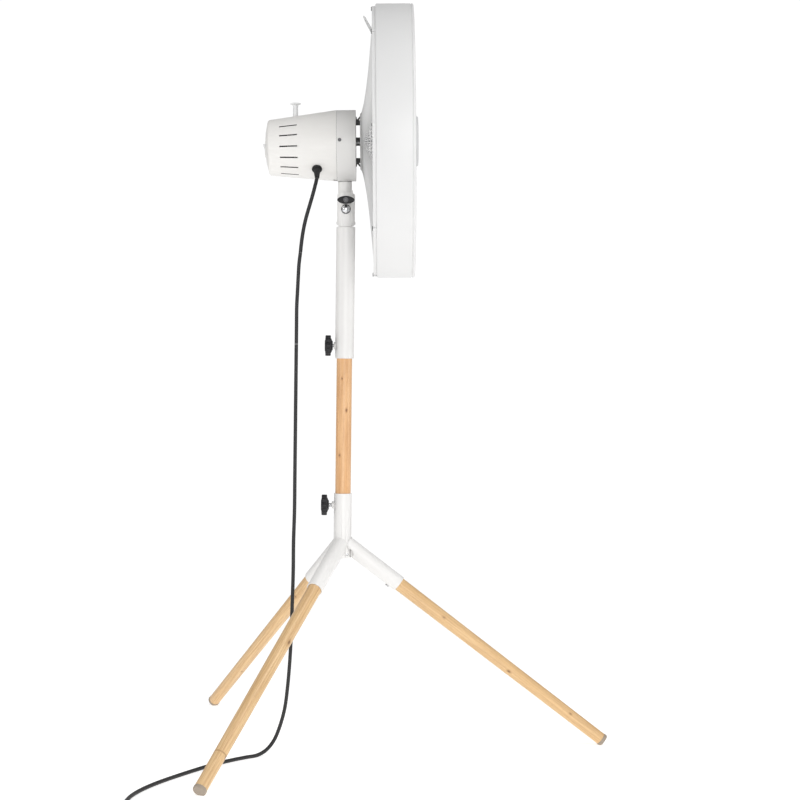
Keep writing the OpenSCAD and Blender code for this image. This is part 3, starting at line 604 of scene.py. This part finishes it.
def make_plug():
    """A plain two-pin plug that lies on the floor, with a ribbed tail."""
    place = COLUMN @ Matrix.Translation((PLUG_X, 0, PLUG_Z))
    bm = bmesh.new()
    low, high = -PLUG_Z + 0.3, 6.7
    side = [(-16.5, PLUG_FRONT + 3), (-14, PLUG_FRONT), (14, PLUG_FRONT), (16.5, PLUG_FRONT + 3),
            (16.5, PLUG_FRONT + 15), (8.5, PLUG_BACK), (-8.5, PLUG_BACK), (-16.5, PLUG_FRONT + 15)]
    extruded(bm, rounded(side, 2.5, 3, loop=True), low, high, "z")
    soften(bm, 1.6, 3)
    tail = [(0, PLUG_BACK - 2), (5.6, PLUG_BACK - 2)]
    for k in range(5):
        y = PLUG_BACK + 1 + 3.6 * k
        r = 5.6 - 0.42 * k
        tail += [(r, y), (r, y + 2.2), (r - 0.8, y + 2.6), (r - 0.8, y + 3.4)]
    tail += [(3.4, PLUG_BACK + TAIL), (0, PLUG_BACK + TAIL)]
    turned(bm, tail, 32)
    plug = piece("plug_body", bm, "stand", "cord_black", place, ("mains_plug",))
    pins = bmesh.new()
    for x in (-9.5, 9.5):
        extra = bmesh.new()
        turned(extra, rounded([(0, PLUG_FRONT + 1), (2.0, PLUG_FRONT + 1), (2.0, PLUG_FRONT - 19),
                               (0, PLUG_FRONT - 19)], 1.2, 4), 24)
        extra.transform(Matrix.Translation((x, 0, 0)))
        merge(pins, extra)
    return [plug, piece("plug_pins", pins, "stand", "chrome", place)]


def make_grommet():
    """Round flange with a soft lip, and a ribbed strain relief that tapers down to the cord."""
    bm = bmesh.new()
    profile = [(0, 8), (5.6, 8), (5.8, 0.6), (8.2, 0.45), (8.4, -0.2), (8.4, -1.6), (7.9, -2.3), (7.2, -2.6),
               (6.5, -2.3), (6.2, -1.8), (5.9, -2.4)]
    for k in range(6):
        h = -3.6 - 3.0 * k
        r = 5.7 - 0.36 * k
        profile += [(r, h), (r - 0.05, h - 1.7), (r - 0.75, h - 2.0), (r - 0.8, h - 2.7)]
    profile += [(3.45, -22), (0, -22)]
    turned(bm, profile, 40, axis="x")
    return piece("grommet_and_relief", bm, "motor", "cord_black", GROMMET, ("cord_grommet",), smooth=50)


def make_cords():
    grommet = make_grommet()
    cord_piece("lead_top", TOP_ROUTE,
               ("cord_top",), [grommet])
    cord_piece("lead_middle", MIDDLE_ROUTE,
               ("cord_middle",))
    cord_piece("lead_floor", FLOOR_ROUTE + tuple(coil_route()),
               ("cord_floor", "cord_coil"), make_plug())


# ---------- stand ----------
LOBES = 8
THREAD_PITCH = 1.0


def fluted_knob(name, body, node, tip_y, hub_y, disc_y):
    """Eight-lobed clamp knob with a coned hub and a threaded stud. Its axis is +Y."""
    low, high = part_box(node)
    height = (low.z + high.z) / 2 / MM
    place = COLUMN @ Matrix.Translation((0, 0, height))
    bm = bmesh.new()
    outline = wavy(160, lambda t: KNOB_R - 2.5 * (0.5 - 0.5 * cos(LOBES * t)) ** 1.6)
    extruded(bm, outline, disc_y, disc_y + 9)
    soften(bm, 1.3, 3, 60)
    turned(bm, [(0, disc_y + 1), (12.5, disc_y + 0.5), (12, disc_y - 0.6), (8, hub_y + 0.8), (7.4, hub_y),
                (0, hub_y)], 48)
    turned(bm, [(0, disc_y + 8), (9.4, disc_y + 8), (9.4, disc_y + 9.4), (8.8, disc_y + 9.9),
                (8.0, disc_y + 9.4), (0, disc_y + 9.2)], 48)
    piece(name, bm, body, "black_plastic", place, (node,), smooth=40)
    stud = bmesh.new()
    profile = [(0, tip_y), (2.4, tip_y), (3.0, tip_y + 0.6)]
    y = tip_y + 0.6
    while y < hub_y + 0.5:
        profile += [(3.0, y + 0.35), (2.55, y + 0.6), (3.0, y + 0.85)]
        y += THREAD_PITCH
    profile += [(3.0, hub_y + 1), (0, hub_y + 1)]
    turned(stud, profile, 28)
    piece(f"{name}_stud", stud, body, "steel", place, smooth=25)


def make_stand():
    finished("hub_socket", 0.5, 3)
    finished("hinge_pins", 0.3)
    finished("wood_pole", 0.8, 3)
    for side in SIDES:
        finished(f"leg_socket_{side}", 0.45, 3)
        finished(f"leg_rod_{side}", 0.6, 3, MATERIALS[f"beech_leg_{side}"])
        finished(f"leg_screws_{side}", 0.45, 3)
        finished(f"foot_pad_{side}", 0.8, 3)
    fluted_knob("lower_knob_grip", "lower_knob", "lower_clamp_knob", 12.95, 23, 26)
    fluted_knob("upper_knob_grip", "upper_knob", "upper_clamp_knob", 12.95, 19.5, 22.6)


# ---------- mast and tilt joint ----------
CAP_R = 6.1
OVAL_LEN, OVAL_H = 14.2, 6.5          # half length and half height of the clamp's oval grip


def hexagon(radius, turn=0.0):
    return [(radius * cos(turn + pi * k / 3), radius * sin(turn + pi * k / 3)) for k in range(6)]


def make_tilt_joint():
    finished("mast_tube", 0.08, 1)
    finished("tilt_yoke", 1.4, 4, above=0.875)
    finished("tilt_bolt", 0.6, 3)
    finished("neck", 0.9, 3)
    finished("thrust_washer", 0.2)
    finished("link_anchor", 0.3)
    finished("drive_link", 0.3)
    face = -YOKE_FACE
    place = axes(TILT_POS, X, Y, Z)
    # Chrome cap nut on a black washer
    bm = bmesh.new()
    turned(bm, rounded([(4.2, face - 0.05), (7.8, face - 0.05), (7.8, face - 1.6), (4.2, face - 1.6)], 0.4, 3,
                       loop=True), 48, axis="x", loop=True)
    piece("nut_washer", bm, "mast", "black_plastic", place)
    bm = bmesh.new()
    extruded(bm, hexagon(7.2, pi / 6), face - 5.4, face - 1.7, "x")
    soften(bm, 0.5, 3)
    dome = [(CAP_R, face - 5.2), (CAP_R, face - 6.2)]
    dome += [(CAP_R * cos(radians(a)), face - 6.2 - 5.2 * sin(radians(a))) for a in range(10, 90, 10)]
    turned(bm, [(0, face - 5.2)] + dome + [(0, face - 11.4)], 48, axis="x")
    piece("cap_nut", bm, "mast", "chrome", place, ("acorn_nut",), smooth=40)
    # Oval grip of the tilt clamp, with its socket-headed screw
    wing = place @ Matrix.Translation((0, 0, WING_H))
    oval = []
    for k in range(72):
        a = 2 * pi * k / 72
        oval.append((OVAL_LEN * cos(a), OVAL_H * math.copysign(abs(sin(a)) ** 1.12, sin(a))))
    bm = bmesh.new()
    extruded(bm, oval, face - 18.2, face - 12.4, "x")
    soften(bm, 1.8, 4, 40)
    turned(bm, [(0, face - 13), (6.4, face - 13), (5.4, face - 11.2), (4.4, face - 9.6), (4.4, face - 0.4),
                (0, face - 0.4)], 40, axis="x")
    grip = piece("wing_grip", bm, "wing", "black_plastic", wing, ("tilt_wing_knob",), smooth=40)
    hole = bmesh.new()
    turned(hole, [(0, face - 25), (4.35, face - 25), (4.35, face - 16.6), (0, face - 16.6)], 40, axis="x")
    hole.transform(wing)
    carved(grip, [hole])
    bm = bmesh.new()
    turned(bm, rounded([(0, face - 14), (4.2, face - 14), (4.2, face - 18.8), (0, face - 18.8)], 0.5, 3),
           40, axis="x")
    insert = piece("wing_insert", bm, "wing", "steel", wing, material=MATERIALS["screw_steel"], smooth=40)
    key = bmesh.new()
    extruded(key, hexagon(2.4), face - 25, face - 16.8, "x")
    key.transform(wing)
    carved(insert, [key])
    bm = bmesh.new()
    turned(bm, [(0, face - 8), (2.5, face - 8), (2.5, 6.8), (2.1, 7.2), (0, 7.2)], 28, axis="x")
    piece("wing_stud", bm, "wing", "steel", wing)


# ---------- motor head ----------
SCREW_R, SCREW_H = 2.9, 1.4
SCREW_SHANK_R, SCREW_DEPTH = 1.4, 5
SLOTS_FROM, SLOTS_TO = 50, 81         # where the vent slots start and end along the housing


def make_housing_screws(place, spots):
    """Round-headed screws with a cross recess. Each spot is a matrix whose -X points out of the surface."""
    r, height = SCREW_R, SCREW_H
    bm = bmesh.new()
    cutters = []
    for spot in spots:
        one = bmesh.new()
        head = [(0, SCREW_DEPTH), (SCREW_SHANK_R, SCREW_DEPTH), (SCREW_SHANK_R, 0.05), (r, 0),
                (r, -0.35 * height)]
        head += [(r * cos(radians(a)), -0.35 * height - 0.65 * height * sin(radians(a)))
                 for a in range(20, 90, 20)]
        turned(one, head + [(0, -height)], 32, axis="x")
        one.transform(spot)
        merge(bm, one)
        for a, b in ((0.22, 0.7), (0.7, 0.22)):
            cutter = bmesh.new()
            block(cutter, (-height - 1, -a * r, -b * r), (-0.3 * height, a * r, b * r))
            cutter.transform(place @ spot)
            cutters.append(cutter)
    screws = piece("housing_screws", bm, "motor", "steel", place, ("shell_screws",),
                   MATERIALS["screw_steel"])
    carved(screws, cutters)


def make_motor():
    finished("motor_frame", 0.9, 3)
    shell = finished("motor_shell", 0.5, 2)
    # The inside of the housing is dark primer, darkened further as painted shade, and the walls of its vent
    # slots are dark as painted shade
    shell.data.materials.append(MATERIALS["primer_and_painted_shade"])
    to_shell = SHELL.inverted()
    for face in shell.data.polygons:
        middle = to_shell @ face.center
        out = (to_shell.to_3x3() @ face.normal).normalized()
        radial = Vector((middle.x, 0, middle.z)).normalized()
        # painted shade: the side walls of the vent slots take the dark material so that the slots read as
        # deep shadow
        painted_slot_shade = SLOTS_FROM < middle.y < SLOTS_TO and abs(out.dot(radial)) < 0.4 and abs(out.y) < 0.9
        if out.dot(radial) < -0.5 or painted_slot_shade:
            face.material_index = 1
    ring = SHAFT @ Matrix.Translation((0, 0, -RING_DROP))
    bm = bmesh.new()
    turned(bm, [(RING_R - 1.2, RING_BACK - 0.6), (RING_R - 0.55, RING_BACK - 0.6),
                (RING_R - 0.55, RING_BACK + 0.9), (RING_R - 1.2, RING_BACK + 0.9)], 160, loop=True)
    piece("seam_gasket", bm, "motor", "dark_nylon", ring)
    for node in ("stator_core", "rear_bracket", "shaft_bushes", "through_bolts", "gearbox_case", "capacitor",
                 "rotor_core", "rotor_shaft", "worm_wheel", "crank_arm"):
        finished(node, 0.25)
    finished("stator_coils", 1.6, 3)
    make_housing_screws(ring, [Matrix.Rotation(radians(a), 4, "Y") @ Matrix.Translation((-RING_R, 9, 0))
                               for a in (4, 124, 244)])
    # Pull-up knob
    bm = bmesh.new()
    profile = [(0, 12), (2, 12), (2, 37), (4.2, 37), (4.45, 38), (4.25, 60), (4.6, 62.6), (8.0, 63.5),
               (8.65, 64.1), (8.65, 64.9), (8.0, 65.6), (5.6, 66.2), (0, 66.4)]
    turned(bm, profile, 48, axis="z")
    piece("oscillation_knob", bm, "pull", "control_white", SHAFT @ Matrix.Translation((GEAR_X, GEAR_Y, 0)),
          ("pull_knob",), smooth=50)
    finished("switch_body", 0.5, 3)
    finished("switch_rocker", 0.5, 3)


# ---------- rotor ----------
BLADES = 5
BLADE_MID = -80
BLADE_ROOT, BLADE_TIP = 22, 205
BLADE_THICK = 1.8
SPINNER_FLUTES = 10


def blade(bm, turn):
    """One cambered, twisted blade with rounded outer corners."""
    spans, chords = 26, 14
    grid = []
    for i in range(spans + 1):
        u = i / spans
        r = BLADE_ROOT + (BLADE_TIP - BLADE_ROOT) * u
        chord = (44 + 70 * sin(pi * min(1.0, 0.12 + 0.62 * u))) * (1 - u ** 9) ** 0.45
        pitch = radians(33 - 14 * u)
        sweep = radians(14 * u * u)
        row = []
        for j in range(chords + 1):
            v = 2 * j / chords - 1
            along = v * max(chord, 12) / 2
            t = turn + sweep + along * cos(pitch) / r
            y = BLADE_MID + along * sin(pitch) + 5 * (1 - v * v) * sin(pi * u * 0.9)
            row.append(bm.verts.new((r * cos(t), y, r * sin(t))))
        grid.append(row)
    faces = []
    for a, b in zip(grid, grid[1:]):
        for j in range(chords):
            faces.append(bm.faces.new((a[j], a[j + 1], b[j + 1], b[j])))
    bmesh.ops.solidify(bm, geom=faces, thickness=BLADE_THICK)


def make_rotor():
    bm = bmesh.new()
    for k in range(BLADES):
        one = bmesh.new()
        blade(one, 2 * pi * k / BLADES + 0.3)
        merge(bm, one)
    hub = rounded([(4.1, BLADE_MID - 15), (20, BLADE_MID - 15), (26, BLADE_MID - 10), (26, BLADE_MID + 18),
                   (24, BLADE_MID + 18), (23, BLADE_MID + 2), (9, BLADE_MID + 2), (9, BLADE_MID + 18),
                   (4.1, BLADE_MID + 18)], 1.2, 3, loop=True)
    turned(bm, hub, 72, loop=True)
    piece("five_blades", bm, "rotor", "blade_plastic", SHAFT, ("fan_blades",), smooth=45)
    bm = bmesh.new()
    outline = wavy(120, lambda t: 16 - 1.1 * (0.5 - 0.5 * cos(SPINNER_FLUTES * t)) ** 1.5)
    extruded(bm, outline, -99.2, -95.2)
    soften(bm, 0.5, 2, 60)
    turned(bm, [(0, -99)] + [(14.4 * cos(radians(a)), -99 - 6 * sin(radians(a))) for a in range(0, 90, 12)]
           + [(0, -105)], 48)
    piece("blade_nut", bm, "rotor", "blade_plastic", SHAFT, ("spinner_nut",), smooth=45)


# ---------- guards ----------
WIRES = 168
WIRE_R, HOOP_WIRE_R = 1.05, 1.3
HOOPS = (90, 135, 180)
CONE_Y = -25.5                        # the rear guard's centre plate
CONE_R = 43
LOOP_R = 180
LOOP_LEAN = radians(28)
WIRE_BOW = 4.3
CLIPS = 8
CLIP_TURN = 1                         # degrees from straight up to the first clip
POSTS = 4
POST_R = 31


def cone_depth(r):
    """Where the straight line from the centre plate to the rim lies at radius r."""
    return CONE_Y + (DRUM_BACK + 2.5 - CONE_Y) * (r - CONE_R) / (RIM_R - CONE_R)


def rear_depth(r):
    """The rear wires bow a little towards the blades, so that they clear the oval clamp knob."""
    span = min(max((r - CONE_R - 1) / (RIM_R - CONE_R - 3.5), 0), 1)
    return cone_depth(r) - WIRE_BOW * sin(pi * span ** 0.6)


REAR_WIRE = [(r, rear_depth(r)) for r in (44, 50, 56, 63, 70, 80, 90, 100, 115, 134, 160, 181, 204, 218)]


def polar(r, y, t):
    return (r * sin(t), y, r * cos(t))


def hoop(bm, r, y, wire, count=144, sides=8):
    swept(bm, [polar(r, y, 2 * pi * k / count) for k in range(count)], wire, sides, loop=True)


def radial_wires(bm, route):
    for k in range(WIRES):
        swept(bm, [polar(r, y, 2 * pi * k / WIRES) for r, y in route], WIRE_R, 6)


def make_guards():
    # Rear guard: a dished plate, radial wires, hoops and a stout rim
    bm = bmesh.new()
    radial_wires(bm, REAR_WIRE)
    for r in HOOPS:
        hoop(bm, r, rear_depth(r) - 1.6, HOOP_WIRE_R)
    turned(bm, rounded([(216.4, DRUM_BACK + 0.2), (220.4, DRUM_BACK + 0.2), (220.4, DRUM_BACK + 5.7),
                        (219.2, DRUM_BACK + 5.7), (218.9, DRUM_BACK + 4.2), (216.4, DRUM_BACK + 4.0)], 0.5, 2,
                       loop=True), 240, loop=True)
    hoop(bm, 45.0, CONE_Y - 0.2, 1.7)
    low, top = CONE_Y - 1.1, CONE_Y + 1.1
    turned(bm, rounded([(16, low), (36, low), (39, low - 0.6), (44.6, low - 0.6), (44.6, top - 0.8),
                        (39.4, top - 0.8), (36.4, top), (16, top)], 0.5, 2, loop=True), 96, loop=True)
    piece("rear_guard_wires", bm, "motor", "guard_white", SHAFT, ("rear_guard",), smooth=50)
    # Lifting loop
    place = (SHAFT @ Matrix.Translation((0, rear_depth(LOOP_R) - 0.5, LOOP_R))
             @ Matrix.Rotation(-LOOP_LEAN, 4, "X"))
    bm = bmesh.new()
    outline = [(-16, 0, 0), (-16, 0, 8), (-15.6, 0, 18), (-12.8, 0, 25.5), (-6.5, 0, 28.8), (0, 0, 29.2),
               (6.5, 0, 28.8), (12.8, 0, 25.5), (15.6, 0, 18), (16, 0, 8), (16, 0, 0)]
    swept(bm, smooth_path(outline, 2.0), 1.15, 10)
    piece("loop_wire", bm, "motor", "guard_white", place, ("lifting_loop",), smooth=50)
    # Drum: rolled rims and a shallow groove beside the front one
    bm = bmesh.new()
    r = DRUM_R
    profile = [(r, DRUM_BACK - 2.2), (r, DRUM_FRONT + 5.6), (r - 0.9, DRUM_FRONT + 5.2),
               (r - 0.9, DRUM_FRONT + 3.9), (r, DRUM_FRONT + 3.5), (r, DRUM_FRONT + 2.0),
               (r - 0.6, DRUM_FRONT + 0.6), (r - 2, DRUM_FRONT), (r - 4.4, DRUM_FRONT + 0.2),
               (r - 5, DRUM_FRONT + 1.0), (r - 4.4, DRUM_FRONT + 1.7),
               (r - 2.2, DRUM_FRONT + 2.0), (r - 1.6, DRUM_FRONT + 3.0), (r - 1.6, DRUM_BACK - 3.0),
               (r - 2.2, DRUM_BACK - 2.0), (r - 4.4, DRUM_BACK - 1.7), (r - 5, DRUM_BACK - 1.0),
               (r - 4.4, DRUM_BACK - 0.2), (r - 2, DRUM_BACK), (r - 0.6, DRUM_BACK - 0.6)]
    turned(bm, profile, 256, loop=True)
    piece("drum_shell", bm, "motor", "guard_white", SHAFT, ("drum_band",), smooth=40)
    # Front guard
    bm = bmesh.new()
    front = DRUM_FRONT + 3
    radial_wires(bm, [(36, front), (80, front - 0.2), (130, front - 0.4), (180, front - 0.2), (218.2, front)])
    for r in HOOPS:
        hoop(bm, r, front + 1.5, HOOP_WIRE_R)
    hoop(bm, 218.2, front, 1.8, 180, 10)
    turned(bm, rounded([(0, front + 1), (38, front + 1), (38, front - 1), (0, front - 1)], 0.5, 2), 96)
    piece("front_guard_wires", bm, "motor", "guard_white", SHAFT, ("front_guard",), smooth=50)
    # Plain centre cap
    bm = bmesh.new()
    cap_front = DRUM_FRONT - 7.3
    turned(bm, [(0, DRUM_FRONT + 1.6), (40.2, DRUM_FRONT + 1.6), (41, DRUM_FRONT + 0.8),
                (41, cap_front + 1.8), (40.5, cap_front + 0.5), (39.4, cap_front), (37.8, cap_front + 0.2),
                (36.9, cap_front + 1.2), (35.6, cap_front + 1.9), (20, cap_front + 1.1),
                (0, cap_front + 0.8)], 128)
    piece("plain_cap", bm, "motor", "cap_grey", SHAFT, ("centre_cap",), smooth=40)
    # Clips round the rim: a pale arm over the edge and a small dark hook behind it
    arms, hooks = bmesh.new(), bmesh.new()
    for k in range(CLIPS):
        turn = Matrix.Rotation(radians(CLIP_TURN + 360 / CLIPS * k), 4, "Y")
        for bm, low, high in ((arms, (220.65, DRUM_BACK + 0.15, -2.4), (222.5, DRUM_BACK + 6.0, 2.4)),
                              (hooks, (216.0, DRUM_BACK + 5.95, -2.3), (222.6, DRUM_BACK + 7.1, 2.3))):
            one = bmesh.new()
            block(one, low, high)
            soften(one, 0.4, 2)
            one.transform(turn)
            merge(bm, one)
    piece("clip_arms", arms, "motor", "dark_nylon", SHAFT, ("guard_clips",), MATERIALS["guard_white"])
    piece("clip_hooks", hooks, "motor", "dark_nylon", SHAFT)
    # Posts between motor and guard, each with a braced foot and a nut
    bm = bmesh.new()
    for k in range(POSTS):
        one = bmesh.new()
        block(one, (-3.9, CONE_Y + 1.25, -3.4), (3.9, RING_FRONT - 0.05, 3.4))
        side = [(3, RING_FRONT - 0.05), (10, RING_FRONT - 0.05), (10, RING_FRONT - 1.2),
                (5.6, RING_FRONT - 2.0), (11.4, CONE_Y + 1.25), (8.5, CONE_Y + 1.25), (3, RING_FRONT - 4.5)]
        extruded(one, side, -1.5, 1.5, "z")
        soften(one, 0.35, 2)
        turned(one, [(0, CONE_Y + 2), (1.55, CONE_Y + 2), (1.55, CONE_Y - 4.2), (0, CONE_Y - 4.2)], 20)
        extruded(one, hexagon(3.9), CONE_Y - 3.6, CONE_Y - 1.25)
        one.transform(Matrix.Rotation(2 * pi / POSTS * k, 4, "Y") @ Matrix.Translation((POST_R, 0, 0)))
        merge(bm, one)
    piece("guard_posts", bm, "motor", "dark_nylon", SHAFT, ("guard_standoffs",))


# ---------- floor and light ----------
FLOOR_R = 2.3
FLOOR_SIDES = 96
WALL_EDGE = (0.86, 0.965)             # how far from straight behind the fan the white wall fades
WALL_LIGHT = (0.44, 1.04)             # strength of the other walls and of the white wall


def make_floor():
    """A round floor with a faint glow of its own, so that it reads as white paper."""
    bm = bmesh.new()
    bm.faces.new(ring_of(bm, FLOOR_SIDES, lambda t: (FLOOR_R * cos(t), FLOOR_R * sin(t), 0)))
    mesh = mesh_of(bm, "floor")
    floor = add_object("floor", mesh)
    g = Graph("pale_floor")
    fine = g.noise(g.where, 30.0, 3.0)
    g.set(Base_Color=g.mix(fine, (0.84, 0.84, 0.84, 1), (0.86, 0.86, 0.86, 1)))
    g.set(Roughness=0.75, Specular_IOR_Level=0.1, Emission_Color=(1, 1, 1, 1), Emission_Strength=0.56)
    mesh.materials.append(g.material)


def make_world():
    """A soft studio: a white wall behind the fan, and dimmer walls and ceiling round it."""
    world = bpy.data.worlds.new("studio")
    bpy.context.scene.world = world
    world.use_nodes = True
    tree = world.node_tree
    tree.nodes.clear()
    where = tree.nodes.new("ShaderNodeTexCoord")
    split = tree.nodes.new("ShaderNodeSeparateXYZ")
    wall = tree.nodes.new("ShaderNodeMapRange")
    wall.interpolation_type = "SMOOTHSTEP"
    limits = dict(zip(("From Min", "From Max", "To Min", "To Max"), WALL_EDGE + WALL_LIGHT))
    for socket, value in limits.items():
        wall.inputs[socket].default_value = value
    back = tree.nodes.new("ShaderNodeBackground")
    output = tree.nodes.new("ShaderNodeOutputWorld")
    tree.links.new(where.outputs["Generated"], split.inputs[0])
    tree.links.new(split.outputs["X"], wall.inputs["Value"])
    tree.links.new(wall.outputs[0], back.inputs["Strength"])
    tree.links.new(back.outputs[0], output.inputs[0])
    back.inputs["Color"].default_value = (1, 1, 1, 1)


def area_light(name, at, aim, size, power):
    """A soft card of light at one point, turned towards another. Lengths are metres."""
    data = bpy.data.lights.new(name, "AREA")
    data.shape = "RECTANGLE"
    data.size, data.size_y = size
    data.energy = power
    light = add_object(name, data)
    ahead = (Vector(aim) - Vector(at)).normalized()
    light.matrix_world = Matrix.Translation(at) @ ahead.to_track_quat("-Z", "Y").to_matrix().to_4x4()


make_camera()
make_cords()
make_stand()
make_tilt_joint()
make_motor()
make_rotor()
make_guards()
make_floor()
make_world()
area_light("front_card", (-4.2, -0.3, 0.9), (0, 0, 0.8), (1.6, 2.6), 52)
area_light("left_card", (-2.0, 3.4, 1.4), (0, 0, 1.0), (1.4, 1.8), 30)
area_light("right_card", (-1.3, -3.4, 1.3), (0, 0, 1.0), (1.4, 1.8), 24)
area_light("overhead", (-1.2, -1.2, 3.4), (0, 0, 0.7), (1.6, 1.6), 24)
bpy.context.scene.view_settings.view_transform = "Standard"
